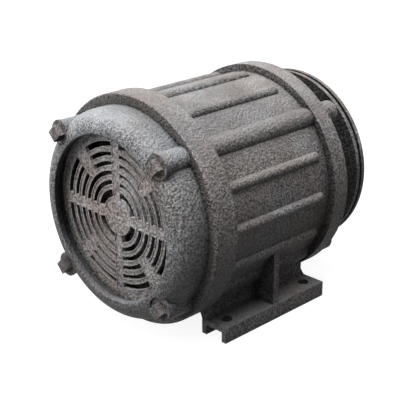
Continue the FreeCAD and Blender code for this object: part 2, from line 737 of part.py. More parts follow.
def build_snap_ring():
    """Open spring ring that holds the grille against its seat from behind."""
    body = make_body("grille_snap_ring", "cover_front + grille_setback + grille_thickness")
    inner = "grille_seat_radius - snap_ring_width / 2"
    outer = "grille_seat_radius + snap_ring_width / 2 - seat_gap"
    spin(body, "ring", [
        (inner, "seat_gap"), (outer, "seat_gap"), (outer, "snap_ring_thickness - seat_gap"),
        (inner, "snap_ring_thickness - seat_gap")], angle=SNAP_RING_SPAN, turn=QUADRANT)


# ------------------------------------------------------------------- tie bolts
def build_tie_bolts():
    """Square-headed bolts, each head standing on one corner, and their round washers."""
    head = "tie_bolt_seat - tie_head_height"
    reach = f"tie_head_side * {HALF_ROOT}"
    bolts = make_body("tie_bolts", head)
    heads = along_axis(bolts, "head", 0, "tie_head_height", lambda s: add_outline(s, [
        (f"{TIE_REACH} + {reach}", TIE_REACH), (TIE_REACH, f"{TIE_REACH} + {reach}"),
        (f"{TIE_REACH} - {reach}", TIE_REACH), (TIE_REACH, f"{TIE_REACH} - {reach}")]))
    shank = along_axis(bolts, "shank", "tie_head_height / 2",
                       f"tie_bolt_end - ({head}) - tie_head_height / 2",
                       lambda s: tie_axes(s, "tie_bolt_radius"))
    around(bolts, "bolts", [heads, shank], TIE_COUNT)
    washers = make_body("tie_washers", "tie_bolt_seat")
    disc = along_axis(washers, "washer", 0, "tie_washer_thickness",
                      lambda s: tie_axes(s, "tie_washer_radius"))
    bore = along_axis(washers, "bore", 0, "tie_washer_thickness",
                      lambda s: tie_axes(s, "tie_bolt_radius + seat_gap"), "Pocket")
    around(washers, "washers", [disc, bore], TIE_COUNT)


# -------------------------------------------------------------------- bearings
def build_bearing(end):
    """Cylindrical roller bearing; distances run outwards from its inner side."""
    seat = f"{end}_bearing_inner"
    lip = "(roller_shoulder - race_gap)"
    far_lip = f"bearing_width - ({lip})"
    outer = make_body(f"{end}_bearing_outer_ring", seat, end)
    spin(outer, "ring", [
        ("race_lip_radius", 0), ("bearing_outer_radius", 0), ("bearing_outer_radius", "bearing_width"),
        ("race_lip_radius", "bearing_width"), ("race_lip_radius", far_lip), ("race_outer_radius", far_lip),
        ("race_outer_radius", lip), ("race_lip_radius", lip)])
    inner = make_body(f"{end}_bearing_inner_ring", seat, end)
    spin(inner, "ring", [
        ("bearing_bore_radius + seat_gap", 0), ("race_inner_radius", 0),
        ("race_inner_radius", "bearing_width"), ("bearing_bore_radius + seat_gap", "bearing_width")])
    rollers = make_body(f"{end}_rollers", seat, end)
    roller = along_axis(rollers, "roller", "roller_shoulder", "roller_length",
                        lambda s: add_circle(s, "roller_radius", "roller_circle_radius", 0))
    around(rollers, "rollers", [roller], ROLLER_COUNT)
    cage = make_body(f"{end}_roller_cage", seat, end)
    side = f"{lip} - cage_side"
    far_side = f"bearing_width - ({side})"
    spin(cage, "band", [
        ("cage_inner_radius", side), ("cage_outer_radius", side),
        ("cage_outer_radius", far_side), ("cage_inner_radius", far_side)])
    pocket_radius = "roller_radius + race_gap"
    pocket = along_axis(cage, "pocket", lip, "roller_length + 2 * race_gap",
                        lambda s: add_circle(s, pocket_radius, "roller_circle_radius", 0), "Pocket")
    around(cage, "pockets", [pocket], ROLLER_COUNT)


def build_bearing_cap(end):
    """Cap on the hub face with its seal and screws; distances run outwards."""
    cap = make_body(f"{end}_bearing_cap", f"{end}_hub_face", end)
    spigot = "(hub_length - hub_lip_thickness - bearing_width)"
    head_seat = "cap_thickness - cap_screw_head_height"
    spin(cap, "cap", [
        ("cap_bore_radius", f"0 - {spigot}"), ("bearing_outer_radius - seat_gap", f"0 - {spigot}"),
        ("bearing_outer_radius - seat_gap", 0), ("hub_radius", 0), ("hub_radius", "cap_thickness"),
        ("cap_bore_radius", "cap_thickness")])
    hole = along_axis(cap, "screw_hole", "0", "cap_thickness",
                      lambda s: add_circle(s, "cap_screw_radius + slip_gap", "cap_screw_circle", 0), "Pocket")
    head_bore = along_axis(
        cap, "head_bore", head_seat, "cap_screw_head_height",
        lambda s: add_circle(s, "cap_screw_head_radius + slip_gap", "cap_screw_circle", 0), "Pocket")
    around(cap, "screw_holes", [hole, head_bore], CAP_SCREW_COUNT)

    seal = make_body(f"{end}_shaft_seal", f"{end}_hub_face", end)
    sleeve_side = "sleeve_radius + slip_gap"
    lip_start = "(cap_thickness - seal_lip_width) / 2"
    spin(seal, "lip_ring", [
        (sleeve_side, lip_start), ("cap_bore_radius - seat_gap", f"0 - {spigot}"),
        ("cap_bore_radius - seat_gap", "cap_thickness"),
        (f"{sleeve_side} + seal_lip_bevel", "cap_thickness"), (sleeve_side, f"{lip_start} + seal_lip_width")])

    screws = make_body(f"{end}_cap_screws", f"{end}_hub_face", end)
    shank = along_axis(screws, "shank", "cap_screw_tip_gap - cap_screw_depth",
                       f"cap_screw_depth - cap_screw_tip_gap + ({head_seat})",
                       lambda s: add_circle(s, "cap_screw_radius", "cap_screw_circle", 0))
    head = along_axis(screws, "head", head_seat, "cap_screw_head_height",
                      lambda s: add_circle(s, "cap_screw_head_radius", "cap_screw_circle", 0))
    around(screws, "screws", [shank, head], CAP_SCREW_COUNT)


# ------------------------------------------------------------ stator and rotor
BAR_START = "0 - core_length / 2 - bar_overlap"
BAR_LENGTH = "core_length + 2 * bar_overlap"


def build_stator():
    core = make_body("stator_core", "frame_middle - core_length / 2")
    along_axis(core, "stack", 0, "core_length", lambda s: add_circle(s, "frame_bore_radius - seat_gap"))
    along_axis(core, "bore", 0, "core_length",
               lambda s: add_circle(s, "stator_bore_radius"), "Pocket")
    mouth = "stator_bore_radius - cut_margin"
    root = "stator_bore_radius + stator_slot_root"
    slot_end = f"{root} + stator_slot_depth"
    half = "stator_slot_width / 2"
    slot = along_axis(core, "slot", 0, "core_length", lambda s: add_outline(s, [
        (mouth, "0 - stator_slot_mouth / 2"), (root, "0 - stator_slot_mouth / 2"), (root, f"0 - {half}"),
        (slot_end, f"0 - {half}"), (slot_end, half), (root, half), (root, "stator_slot_mouth / 2"),
        (mouth, "stator_slot_mouth / 2")]), "Pocket")
    around(core, "slots", [slot], STATOR_SLOTS)

    coils = make_body("stator_windings", "frame_middle")
    face = "core_length / 2 + slip_gap"
    far = "core_length / 2 + coil_end_length"
    start = "(seat_gap + bar_overlap)"
    for side, sign in (("rear", ""), ("front", "0 - ")):
        spin(coils, f"{side}_coil_end", [
            (f"{root} + {start}", f"{sign}({face})"), (f"{slot_end} - {start}", f"{sign}({face})"),
            ("coil_end_outer", f"{sign}({face} + coil_corner)"),
            ("coil_end_outer", f"{sign}({far} - coil_corner)"),
            ("coil_end_outer - coil_corner", f"{sign}({far})"),
            ("coil_end_inner + coil_corner", f"{sign}({far})"),
            ("coil_end_inner", f"{sign}({far} - coil_corner)"),
            ("coil_end_inner", f"{sign}({face} + coil_corner)")])
    bar = along_axis(coils, "bar", BAR_START, BAR_LENGTH, lambda s: add_box(
        s, f"{root} + slip_gap", f"{slot_end} - slip_gap", f"slip_gap - {half}", f"{half} - slip_gap"))
    around(coils, "bars", [bar], STATOR_SLOTS)


def build_rotor():
    core = make_body("rotor_core", "frame_middle - core_length / 2")
    half = "rotor_slot_width / 2"
    along_axis(core, "stack", 0, "core_length", lambda s: add_circle(s, "stator_bore_radius - air_gap"))
    along_axis(core, "bore", 0, "core_length",
               lambda s: add_circle(s, "shaft_core_radius + seat_gap"), "Pocket")
    slot = along_axis(core, "slot", 0, "core_length", lambda s: add_box(
        s, "rotor_slot_root", "rotor_slot_top", f"0 - {half}", half), "Pocket")
    around(core, "slots", [slot], ROTOR_SLOTS)

    cage = make_body("rotor_cage", "frame_middle")
    face = "core_length / 2 + rotor_slot_gap"
    for side, sign in (("rear", ""), ("front", "0 - ")):
        near, far = f"{sign}({face})", f"{sign}({face} + end_ring_length)"
        spin(cage, f"{side}_end_ring", [
            ("end_ring_inner", near), ("rotor_slot_top", near),
            ("rotor_slot_top", far), ("end_ring_inner", far)])
    bar = along_axis(cage, "bar", BAR_START, BAR_LENGTH, lambda s: add_box(
        s, "rotor_slot_root + rotor_slot_gap", "rotor_slot_top - rotor_slot_gap",
        f"rotor_slot_gap - {half}", f"{half} - rotor_slot_gap"))
    around(cage, "bars", [bar], ROTOR_SLOTS)


def key_seat(body, name, start, length):
    """Flat-bottomed keyway on top of the shaft."""
    sketch = new_sketch(body, f"{name}_outline", "XY_Plane", "shaft_core_radius")
    half = "(key_width / 2 + seat_gap)"
    add_box(sketch, f"0 - {half}", half, start, f"{start} + {length}")
    cut = "shaft_core_radius - shaft_weight_radius + key_depth"
    feature(body, "Pocket", name, sketch, Length=cut)


def build_shaft():
    """Stepped shaft; distances run rearwards from its front end."""
    body = make_body("shaft", "shaft_front_end")
    zero = "shaft_front_end"
    steps = [("shaft_weight_radius", "front_weight_back + shoulder_gap"),
             ("bearing_bore_radius", "front_bearing_inner"), ("shaft_core_radius", "rear_bearing_inner"),
             ("bearing_bore_radius", "disc_hub_face - shoulder_gap"),
             ("shaft_weight_radius", "shaft_rear_end")]
    outline = [(0, 0)]
    start = "0"
    for radius, end in steps:
        outline += [(radius, start), (radius, f"{end} - {zero}")]
        start = f"{end} - {zero}"
    outline.append((0, start))
    spin(body, "journals", outline)
    key_seat(body, "front_keyway", f"(front_weight_mid - {zero})", "front_weight_thickness")
    key_seat(body, "rear_keyway", f"(disc_hub_face - {zero} + shoulder_gap)", "rear_key_length")
    for end, from_face in (("front", "0"), ("rear", f"shaft_rear_end - {zero} - end_screw_depth")):
        along_axis(body, f"{end}_tap", from_face, "end_screw_depth",
                   lambda s: add_circle(s, f"{end}_end_screw_radius + seat_gap"), "Pocket")
    for end, reach in (("front", "front_bearing_face - front_weight_back"),
                       ("rear", "disc_hub_face - rear_bearing_face")):
        sleeve = make_body(f"{end}_spacer_sleeve", f"{end}_bearing_face", end)
        spin(sleeve, "tube", [
            ("bearing_bore_radius + seat_gap", 0), ("sleeve_radius", 0), ("sleeve_radius", reach),
            ("bearing_bore_radius + seat_gap", reach)])


# ----------------------------------------------------------------- the weights
def bore_and_keyway(body, length, keyed):
    along_axis(body, "bore", 0, length, lambda s: add_circle(s, "shaft_weight_radius + seat_gap"), "Pocket")
    if keyed:
        half = "(key_width / 2 + seat_gap)"
        key_top = "shaft_weight_radius - key_depth + key_height + slip_gap"
        along_axis(body, "keyway", 0, length,
                   lambda s: add_box(s, f"0 - {half}", half, "0", key_top), "Pocket")


def build_front_weight(name, station, keyed):
    """Sector weight hanging below a round hub."""
    body = make_body(name, station)
    spin(body, "sector", [
        (0, 0), ("front_weight_radius", 0), ("front_weight_radius", "front_weight_thickness"),
        (0, "front_weight_thickness")], angle="front_weight_span", turn=QUADRANT)
    along_axis(body, "hub", 0, "front_weight_thickness",
               lambda s: add_circle(s, "front_weight_hub_radius"))
    bore_and_keyway(body, "front_weight_thickness", keyed)


def build_disc(name, station, hub_end, web_start, keyed):
    """Round disc lightened by windows above the shaft, so that its lower half is heavier."""
    body = make_body(name, station)
    web_end = f"({web_start}) + disc_thickness"
    spin(body, "web", [
        (0, web_start), ("disc_radius", web_start), ("disc_radius", web_end), (0, web_end)])
    spin(body, "hub", [(0, 0), ("disc_hub_radius", 0), ("disc_hub_radius", hub_end), (0, hub_end)])
    for number, direction in enumerate(DISC_WINDOW_DIRECTIONS):
        arc_band(body, f"window_{number}", ("disc_window_inner", "disc_window_outer"),
                 (f"{web_start} - cut_margin", f"{web_end} + cut_margin"), direction,
                 "disc_window_span", "Groove")
    bore_and_keyway(body, hub_end, keyed)


def build_weights():
    build_front_weight("front_fixed_weight", "front_weight_mid", True)
    build_front_weight("front_adjustable_weight", "front_slider_face", False)
    build_disc("rear_fixed_disc", "disc_hub_face", "disc_hub_end - disc_hub_face",
               "disc_face - disc_hub_face", True)
    build_disc("rear_adjustable_disc", "slider_hub_face", "slider_hub_end - slider_hub_face",
               "slider_disc_face - slider_hub_face", False)
    for end, start, length in (("front", "front_weight_mid", "front_weight_thickness"),
                               ("rear", "disc_hub_face + shoulder_gap", "rear_key_length")):
        key = doc.addObject("Part::Box", f"{end}_weight_key")
        key.Label = f"{end}_weight_key"
        place(key, f"{start} + seat_gap", across="0 - key_width / 2",
              height="axis_height + shaft_weight_radius - key_depth + seat_gap")
        bind(key, Length="key_width", Width=f"{length} - 2 * seat_gap", Height="key_height")
        exported.append(key)


def build_shaft_end(end, seat):
    """Washer and hexagon screw that clamp the weights; distances run outwards."""
    washer = make_body(f"{end}_end_washer", seat, end)
    thickness, head = f"{end}_end_washer_thickness", f"{end}_end_screw_head_height"
    inner = f"{end}_end_screw_radius"
    spin(washer, "washer", [
        (f"{inner} + slip_gap", 0), ("end_washer_radius", 0), ("end_washer_radius", thickness),
        (f"{inner} + slip_gap", thickness)])
    screw = make_body(f"{end}_end_screw", seat, end)
    reach = "(end_screw_depth - end_screw_tip_gap)"
    along_axis(screw, "shank", f"0 - {reach}", f"{reach} + {thickness}", lambda s: add_circle(s, inner))
    along_axis(screw, "head", thickness, head, lambda s: add_hexagon(s, f"{end}_end_screw_head_radius"))


# --------------------------------------------------- terminal box and its gland
def box_plate(name, start, thickness, inset):
    """Plate with the outline of the box; it is drawn in the side view."""
    body = make_body(name, "frame_front")
    sketch = new_sketch(body, "outline", "YZ_Plane", start)
    add_outline(sketch, box_corners(inset, "box_corner"))
    feature(body, "Pad", "plate", sketch, Length=thickness)
    return body


def build_box_fittings():
    gasket = box_plate("terminal_box_gasket", "0 - box_reach - gasket_thickness", "gasket_thickness", "0")
    window = new_sketch(gasket, "window_outline", "YZ_Plane", "0 - box_reach")
    add_outline(window, box_corners("box_wall", "lid_screw_inset + cut_margin"))
    lid_face = "box_reach + gasket_thickness + lid_thickness"
    lid = box_plate("terminal_box_lid", f"0 - ({lid_face})", "lid_thickness", "0")
    for body, cut_length in ((gasket, "gasket_thickness"), (lid, "lid_thickness")):
        holes = new_sketch(body, "screw_circles", "YZ_Plane", "0 - box_reach")
        for y, z in box_screw_places():
            add_circle(holes, "lid_screw_radius + slip_gap", y, z)
        if body is gasket:
            feature(gasket, "Pocket", "window", window, Length=cut_length)
        feature(body, "Pocket", "screw_holes", holes, Length=f"{lid_face} - box_reach")
    screws = make_body("lid_screws", "frame_front")
    for name, radius, start, length in (
            ("shank", "lid_screw_radius", f"0 - ({lid_face})", "lid_screw_depth"),
            ("head", "lid_screw_head_radius", f"0 - ({lid_face}) - lid_screw_head_height",
             "lid_screw_head_height")):
        sketch = new_sketch(screws, f"{name}_circles", "YZ_Plane", start)
        for y, z in box_screw_places():
            add_circle(sketch, radius, y, z)
        feature(screws, "Pad", name, sketch, Length=length)


def stud_places():
    return [(f"{BOX_MIDDLE} + stud_pitch * {column}", f"{side} * stud_row_gap / 2 - block_drop")
            for column in (-1, 0, 1) for side in (-1, 1)]


def build_terminal_block():
    block = make_body("terminal_block", "frame_front")
    outline = new_sketch(block, "outline", "YZ_Plane", "0 - box_floor - block_depth")
    add_box(outline, f"{BOX_MIDDLE} - block_length / 2", f"{BOX_MIDDLE} + block_length / 2",
            "0 - block_height / 2 - block_drop", "block_height / 2 - block_drop")
    feature(block, "Pad", "block", outline, Length="block_depth")
    studs = make_body("terminal_studs", "frame_front")
    nuts = make_body("terminal_nuts", "frame_front")
    drill = new_sketch(block, "stud_hole_circles", "YZ_Plane", "0 - box_floor")
    bars = new_sketch(studs, "stud_circles", "YZ_Plane", "0 - box_floor - stud_length")
    hexes = new_sketch(nuts, "nut_outlines", "YZ_Plane", "0 - box_floor - block_depth - stud_nut_height")
    bores = new_sketch(nuts, "nut_bores", "YZ_Plane", "0 - box_floor - block_depth")
    for y, z in stud_places():
        add_circle(drill, "stud_radius + seat_gap", y, z)
        add_circle(bars, "stud_radius", y, z)
        add_hexagon(hexes, "stud_nut_radius", y, z)
        add_circle(bores, "stud_radius + seat_gap", y, z)
    feature(block, "Pocket", "stud_holes", drill, Length="block_depth")
    feature(studs, "Pad", "studs", bars, Length="stud_length")
    feature(nuts, "Pad", "nuts", hexes, Length="stud_nut_height")
    feature(nuts, "Pocket", "nut_bores_cut", bores, Length="stud_nut_height")


def build_cable_gland():
    """Gland body, seal and dome nut below the box; distances run downwards."""
    underside = "axis_height - box_height / 2"

    def turned(name, outline):
        body = make_body(name, "box_middle", across="0 - gland_axis_reach", height=underside)
        sketch = new_sketch(body, "profile", "XZ_Plane")
        add_outline(sketch, [(radius, f"0 - ({drop})") for radius, drop in outline])
        turning = feature(body, "Revolution", "turning", sketch)
        turning.ReferenceAxis = (sketch, ["V_Axis"])
        turning.Angle = FULL_TURN
        return body

    neck_end = "gland_hex_height + gland_neck_length"
    seal_top = f"{neck_end} + gland_seal_drop - gland_seal_length"
    seal_end = f"{seal_top} + gland_seal_length"
    body = turned("gland_body", [
        ("gland_bore_radius", "0 - gland_thread_length"), ("gland_thread_radius", "0 - gland_thread_length"),
        ("gland_thread_radius", 0), ("gland_neck_radius", 0), ("gland_neck_radius", neck_end),
        ("gland_bore_radius", neck_end)])
    collar = new_sketch(body, "collar_outline", "XY_Plane", "0 - gland_hex_height")
    add_hexagon(collar, "gland_hex_radius")
    add_circle(collar, "gland_thread_radius")
    feature(body, "Pad", "collar", collar, Length="gland_hex_height")
    turned("gland_seal", [
        ("gland_seal_bore_radius", seal_top), ("gland_bore_radius - seat_gap", seal_top),
        ("gland_bore_radius - seat_gap", seal_end), ("gland_seal_bore_radius", seal_end)])
    nut_start = "gland_hex_height + gland_nut_gap"
    nut_end = f"{nut_start} + gland_nut_length"
    turned("gland_nut", [
        ("gland_neck_radius + seat_gap", nut_start), ("gland_hex_radius", nut_start),
        ("gland_hex_radius", f"{nut_end} - gland_nut_bevel_length"),
        ("gland_hex_radius - gland_nut_bevel_width", nut_end), ("gland_nut_bore_radius", nut_end),
        ("gland_nut_bore_radius", f"{seal_end} + seat_gap"),
        ("gland_neck_radius + seat_gap", f"{seal_end} + seat_gap")])


# -------------------------------------------------------------------- assembly
build_stator_frame()
build_front_cover()
build_grille()
build_snap_ring()
build_tie_bolts()
for end in ("front", "rear"):
    build_end_shield(end)
    build_bearing(end)
    build_bearing_cap(end)
build_stator()
build_rotor()
build_shaft()
build_weights()
build_shaft_end("front", "front_slider_face")
build_shaft_end("rear", "slider_hub_end")
build_box_fittings()
build_terminal_block()
build_cable_gland()
doc.recompute()

for item in doc.Objects:
    if "Invalid" in item.State or "Error" in item.State:
        raise RuntimeError(f"{item.Name} did not rebuild: {item.State}")
os.makedirs("parts", exist_ok=True)
for piece in exported:
    if piece.Shape.isNull() or not piece.Shape.isValid() or not piece.Shape.Solids:
        raise RuntimeError(f"{piece.Label} has no valid solid")
    piece.Shape.exportStep(f"parts/{piece.Label}.step")
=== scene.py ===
import bpy
import json
import math
from mathutils import Matrix, Vector


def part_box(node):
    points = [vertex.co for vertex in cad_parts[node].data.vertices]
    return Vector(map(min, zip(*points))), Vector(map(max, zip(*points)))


# Looks of the foot-mounted vibration motor: finishes, lights and camera.
# Lengths are in metres. +Z is up and the grille end faces -Y.
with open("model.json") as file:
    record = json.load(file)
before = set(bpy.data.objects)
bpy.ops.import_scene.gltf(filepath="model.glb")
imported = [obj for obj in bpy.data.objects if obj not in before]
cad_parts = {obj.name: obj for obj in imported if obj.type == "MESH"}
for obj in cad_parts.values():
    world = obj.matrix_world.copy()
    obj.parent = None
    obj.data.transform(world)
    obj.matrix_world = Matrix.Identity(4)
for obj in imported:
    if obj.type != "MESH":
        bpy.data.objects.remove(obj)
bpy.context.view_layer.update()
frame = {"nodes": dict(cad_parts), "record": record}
nodes = frame["nodes"]
ring_low, ring_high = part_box("front_end_shield")
AXIS_HEIGHT = (ring_low.z + ring_high.z) / 2


# ------------------------------------------------------------------ node tools
SHADE_SAMPLES = 6
OPEN_SKY_BAND = (0.15, 0.8)
EDGE_BAND = (0.8, 0.995)


class Shader:
    """Small helper that builds one material's node tree."""

    def __init__(self, name):
        self.material = bpy.data.materials.new(name)
        self.material.use_nodes = True
        self.tree = self.material.node_tree
        self.tree.nodes.clear()
        self.output = self.add("OutputMaterial")
        places = self.add("TexCoord")
        self.coords, self.facing = places.outputs["Object"], places.outputs["Normal"]

    def add(self, kind, **settings):
        node = self.tree.nodes.new(f"ShaderNode{kind}")
        for key, value in settings.items():
            setattr(node, key, value)
        return node

    def put(self, value, socket):
        """Links a socket or sets a plain number or colour."""
        if isinstance(value, bpy.types.NodeSocket):
            self.tree.links.new(value, socket)
        elif isinstance(value, tuple) and socket.type == "RGBA":
            socket.default_value = (*value, 1)
        else:
            socket.default_value = value

    def noise(self, scale, detail=3.0, roughness=0.6, stretch=(1, 1, 1)):
        """Noise of the object's own places; the scale is grains per metre."""
        mapping = self.add("Mapping")
        self.put(stretch, mapping.inputs["Scale"])
        self.put(self.coords, mapping.inputs["Vector"])
        texture = self.add("TexNoise")
        self.put(scale, texture.inputs["Scale"])
        self.put(detail, texture.inputs["Detail"])
        self.put(roughness, texture.inputs["Roughness"])
        self.put(mapping.outputs["Vector"], texture.inputs["Vector"])
        return texture.outputs["Fac"]

    def ramp(self, source, stops):
        """Colours the source by (place, colour) stops."""
        node = self.add("ValToRGB")
        elements = node.color_ramp.elements
        elements.remove(elements[-1])
        for index, (place, color) in enumerate(stops):
            element = elements[0] if index == 0 else elements.new(place)
            element.position = place
            element.color = (*color, 1)
        self.put(source, node.inputs["Fac"])
        return node.outputs["Color"]

    def grey(self, source, low, high, place_low=0.0, place_high=1.0):
        return self.ramp(source, [(place_low, (low,) * 3), (place_high, (high,) * 3)])

    def mix(self, factor, first, second, blend="MIX"):
        """Mixes two colours, the second over the first."""
        node = self.add("Mix", data_type="RGBA", blend_type=blend)
        colors = [socket for socket in node.inputs if socket.type == "RGBA"]
        for value, socket in ((factor, node.inputs[0]), (first, colors[0]), (second, colors[1])):
            self.put(value, socket)
        return next(socket for socket in node.outputs if socket.type == "RGBA")

    def bump(self, height, strength, distance, below):
        """Relief of the given depth in metres, on top of the normal below."""
        node = self.add("Bump")
        self.put(strength, node.inputs["Strength"])
        self.put(distance, node.inputs["Distance"])
        self.put(height, node.inputs["Height"])
        self.put(below, node.inputs["Normal"])
        return node.outputs["Normal"]

    def rounded(self, radius):
        """Softened edges: a normal that turns over each edge, and a mask of where it does."""
        node = self.add("Bevel", samples=SHADE_SAMPLES)
        self.put(radius, node.inputs["Radius"])
        straight = self.add("NewGeometry").outputs["Normal"]
        turned = self.vector("DOT_PRODUCT", node.outputs["Normal"], straight)
        return node.outputs["Normal"], self.grey(turned, 1.0, 0.0, *EDGE_BAND)

    def hollow(self, distance, low, high):
        """Painted shade: darkens what lies deep between other surfaces."""
        node = self.add("AmbientOcclusion", samples=SHADE_SAMPLES)
        self.put(distance, node.inputs["Distance"])
        return self.grey(node.outputs["AO"], low, high, *OPEN_SKY_BAND)

    def scaled(self, source, start, end, low, high):
        """Grey that goes smoothly from low to high as the source goes from start to end."""
        node = self.add("MapRange", interpolation_type="SMOOTHSTEP")
        for value, socket in ((source, "Value"), (start, "From Min"), (end, "From Max")):
            self.put(value, node.inputs[socket])
        return self.grey(node.outputs["Result"], low, high)

    def rising(self, vector, start, end, low, high):
        """Grey that follows the vector's Z."""
        split = self.add("SeparateXYZ")
        self.put(vector, split.inputs[0])
        return self.scaled(split.outputs["Z"], start, end, low, high)

    def outward(self):
        """From -1 on walls that face the motor axis to 1 on those that face away from it."""
        reach = self.vector("SUBTRACT", self.coords, (0, 0, AXIS_HEIGHT))
        arm = self.vector("NORMALIZE", self.vector("MULTIPLY", reach, (1, 0, 1)))
        return self.vector("DOT_PRODUCT", arm, self.facing)

    def vector(self, operation, first, second=None):
        """Vector operation; a dot product gives a number, the others a vector."""
        node = self.add("VectorMath", operation=operation)
        self.put(first, node.inputs[0])
        if second is not None:
            self.put(second, node.inputs[1])
        return node.outputs["Value" if operation == "DOT_PRODUCT" else "Vector"]

    def finish(self, color, roughness, normal, metallic=0.0, specular=0.5):
        surface = self.add("BsdfPrincipled")
        for value, socket in ((color, "Base Color"), (roughness, "Roughness"), (normal, "Normal"),
                              (metallic, "Metallic"), (specular, "Specular IOR Level")):
            self.put(value, surface.inputs[socket])
        self.put(surface.outputs["BSDF"], self.output.inputs["Surface"])
        return self.material


# ------------------------------------------------------------------- materials
# Sizes on the surface, in metres, and noise scales, in grains per metre.
IRON_EDGE, STEEL_EDGE = 0.0011, 0.0004
PATINA, BLOTCHES, LUMPS, SAND = 11, 24, 120, 500
LUMP_DEPTH, SAND_DEPTH = 0.002, 0.0065
STAINS, DUST, TOOL_MARKS = 60, 180, 900
TOOL_MARK_DEPTH = 0.0002
TOOL_MARK_STRETCH = (1, 0.06, 1)
CREVICE_REACH, CORNER_REACH = 0.012, 0.06
LOW_DARKENING_TOP = 0.13
FOOT_TOP, FOOT_LIGHTENING_END = 0.0145, 0.028

# Other measures of the finishes.
SAND_BAND = (0.36, 0.64)
UP_FACING = (0.2, 0.9)
IRON_WEAR, STEEL_WEAR = (0.45,) * 3, (0.5,) * 3
WORN_STEEL_GAIN = 1.4
DUST_GAIN = 2.2
STEEL_METALLIC = 0.85


def painted_light_and_shade(shader, crevice_shade, rim_highlight):
    """Greys that multiply a casting's colour: painted light and shade, and a darkening towards the bottom."""
    outward = shader.outward()
    axis_wall_shade = shader.scaled(outward, -0.8, -0.4, 0.05, 1.0)
    ledges = shader.rising(shader.facing, 0.1, 0.9, 0.0, 0.8)
    return [
        # Painted shade on walls that face the axis, less on those that look up, where light falls.
        shader.mix(1.0, axis_wall_shade, ledges, "LIGHTEN"),
        # Painted highlight on outer rims, which face away from the axis.
        shader.scaled(outward, 0.4, 0.9, 1.0, rim_highlight),
        # Painted light on faces that look up and painted shade on those that look down.
        shader.rising(shader.facing, -0.45, 0.85, 0.24, 1.3),
        # Darker towards the bottom of the body, and lighter again on the feet.
        shader.rising(shader.coords, 0.0, LOW_DARKENING_TOP, 0.55, 1.0),
        shader.rising(shader.coords, FOOT_TOP, FOOT_LIGHTENING_END, 2.5, 1.0),
        # Painted shade in crevices and corners.
        shader.hollow(CREVICE_REACH, 1 - crevice_shade, 1.0),
        shader.hollow(CORNER_REACH, 1 - crevice_shade / 2, 1.0),
    ]


def cast_iron(name, dark, mid, light, grain=1.0, roughness=0.6, specular=0.15, crevice_shade=0.85, rim_highlight=1.0):
    """Weathered casting: sandy grain, blotches and rubbed edges, with painted light and shade and a darkening
    towards the bottom.
    """
    shader = Shader(name)
    soft_normal, edges = shader.rounded(IRON_EDGE)
    blotches = shader.noise(BLOTCHES, 5, 0.6)
    sand = shader.noise(SAND, 2.5, 0.55)
    tone = shader.ramp(blotches, [(0.32, dark), (0.5, mid), (0.68, light)])
    patina = shader.noise(PATINA, 4, 0.6)
    tint = shader.ramp(patina, [(0.4, (1.03, 0.98, 0.95)), (0.58, (0.95, 0.98, 1.01))])
    tone = shader.mix(1.0, tone, tint, "MULTIPLY")

    # The grain shows more on the sides than on top, where dust fills it.
    sides = shader.rising(shader.facing, *UP_FACING, 1.0, 0.0)
    dusty_sand = shader.grey(sand, 1 - 0.2 * grain, 1 + 0.16 * grain, *SAND_BAND)
    bare_sand = shader.grey(sand, 1 - 0.7 * grain, 1 + 0.75 * grain, *SAND_BAND)
    color = shader.mix(1.0, tone, shader.mix(sides, dusty_sand, bare_sand), "MULTIPLY")
    color = shader.mix(shader.mix(1.0, edges, IRON_WEAR, "MULTIPLY"), color, light)
    for layer in painted_light_and_shade(shader, crevice_shade, rim_highlight):
        color = shader.mix(1.0, color, layer, "MULTIPLY")

    relief = shader.bump(shader.noise(LUMPS, 2, 0.5), 0.4 * grain, LUMP_DEPTH, soft_normal)
    sand_strength = shader.rising(shader.facing, *UP_FACING, grain, 0.75 * grain)
    relief = shader.bump(sand, sand_strength, SAND_DEPTH, relief)
    dull = shader.grey(blotches, roughness - 0.08, roughness + 0.1, 0.3, 0.7)
    return shader.finish(color, dull, relief, specular=specular)


def steel(name, base, roughness=0.35, brushed=True, grime=0.5):
    """Turned or rolled metal with fine tool marks and stains."""
    shader = Shader(name)
    soft_normal, edges = shader.rounded(STEEL_EDGE)
    streaks = shader.noise(TOOL_MARKS, 3, 0.6, TOOL_MARK_STRETCH if brushed else (1, 1, 1))
    stains = shader.noise(STAINS, 5, 0.6)
    stained = tuple(channel * (1 - grime) for channel in base)
    worn = tuple(min(1.0, channel * WORN_STEEL_GAIN) for channel in base)
    color = shader.ramp(stains, [(0.35, stained), (0.62, base)])
    color = shader.mix(shader.mix(1.0, edges, STEEL_WEAR, "MULTIPLY"), color, worn)
    dull = shader.grey(stains, roughness + 0.25, roughness, 0.35, 0.65)
    relief = shader.bump(streaks, 0.25, TOOL_MARK_DEPTH, soft_normal)
    return shader.finish(color, dull, relief, metallic=STEEL_METALLIC)


def moulded(name, base):
    """Rubber or resin with dust in its grain."""
    shader = Shader(name)
    soft_normal, _ = shader.rounded(STEEL_EDGE)
    dust = shader.noise(DUST, 4, 0.6)
    dusty = tuple(channel * DUST_GAIN + 0.01 for channel in base)
    color = shader.ramp(dust, [(0.4, base), (0.75, dusty)])
    relief = shader.bump(shader.noise(TOOL_MARKS, 2), 0.2, TOOL_MARK_DEPTH, soft_normal)
    return shader.finish(color, shader.grey(dust, 0.6, 0.85), relief)


